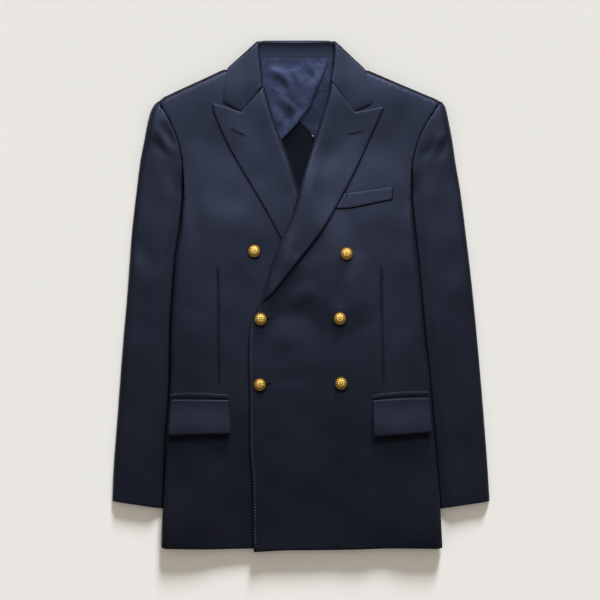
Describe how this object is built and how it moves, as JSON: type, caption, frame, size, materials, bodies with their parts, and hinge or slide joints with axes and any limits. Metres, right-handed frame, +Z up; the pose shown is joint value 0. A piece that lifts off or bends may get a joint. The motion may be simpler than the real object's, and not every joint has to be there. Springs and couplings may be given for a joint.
{
  "type": "double-breasted blazer laid flat",
  "caption": "Navy double-breasted blazer with wide peak lapels, flap pockets, a breast welt and domed gilt buttons, fastened and laid flat on its back.",
  "frame": {"origin": "centre of the bounding box in plan, on the surface that the blazer lies on", "axes": "+X towards the wearer's left sleeve, +Y from hem to collar along the blazer's length, +Z up, out of the blazer's front"},
  "size_m": [0.59, 0.7991, 0.0258],
  "materials": {
    "back_right": "navy worsted wool twill, matt with a faint nap",
    "back_left": "navy worsted wool twill, matt with a faint nap",
    "side_panel_right": "navy worsted wool twill, matt with a faint nap",
    "side_panel_left": "navy worsted wool twill, matt with a faint nap",
    "front_right": "navy worsted wool twill, matt with a faint nap",
    "front_left": "navy worsted wool twill, matt with a faint nap",
    "lapel_right": "navy worsted wool twill, matt with a faint nap",
    "lapel_left": "navy worsted wool twill, matt with a faint nap",
    "top_sleeve_right": "navy worsted wool twill, matt with a faint nap",
    "top_sleeve_left": "navy worsted wool twill, matt with a faint nap",
    "under_sleeve_right": "navy worsted wool twill, matt with a faint nap",
    "under_sleeve_left": "navy worsted wool twill, matt with a faint nap",
    "collar_fall": "navy worsted wool twill, matt, pressed",
    "collar_stand": "navy worsted wool twill, matt, pressed",
    "lining_right": "woven satin lining, midnight blue, softly shiny",
    "lining_left": "woven satin lining, midnight blue, softly shiny",
    "breast_welt": "navy worsted wool twill, matt with a faint nap",
    "pocket_flap_right": "navy worsted wool twill, matt with a faint nap",
    "pocket_flap_left": "navy worsted wool twill, matt with a faint nap",
    "pocket_jet_right": "navy worsted wool twill, matt with a faint nap",
    "pocket_jet_left": "navy worsted wool twill, matt with a faint nap",
    "button_top_right": "polished gilt brass, stamped dome with a plain rosette",
    "button_top_left": "polished gilt brass, stamped dome with a plain rosette",
    "button_middle_right": "polished gilt brass, stamped dome with a plain rosette",
    "button_middle_left": "polished gilt brass, stamped dome with a plain rosette",
    "button_low_right": "polished gilt brass, stamped dome with a plain rosette",
    "button_low_left": "polished gilt brass, stamped dome with a plain rosette"
  },
  "bodies": {
    "root": {"back_right": "back_right", "back_left": "back_left", "side_panel_right": "side_panel_right", "side_panel_left": "side_panel_left", "front_right": "front_right", "front_left": "front_left", "lapel_right": "lapel_right", "lapel_left": "lapel_left", "top_sleeve_right": "top_sleeve_right", "top_sleeve_left": "top_sleeve_left", "under_sleeve_right": "under_sleeve_right", "under_sleeve_left": "under_sleeve_left", "collar_fall": "collar_fall", "collar_stand": "collar_stand", "lining_right": "lining_right", "lining_left": "lining_left", "breast_welt": "breast_welt", "pocket_flap_right": "pocket_flap_right", "pocket_flap_left": "pocket_flap_left", "pocket_jet_right": "pocket_jet_right", "pocket_jet_left": "pocket_jet_left", "button_top_right": "button_top_right", "button_top_left": "button_top_left", "button_middle_right": "button_middle_right", "button_middle_left": "button_middle_left", "button_low_right": "button_low_right", "button_low_left": "button_low_left"}
  },
  "joints": []
}
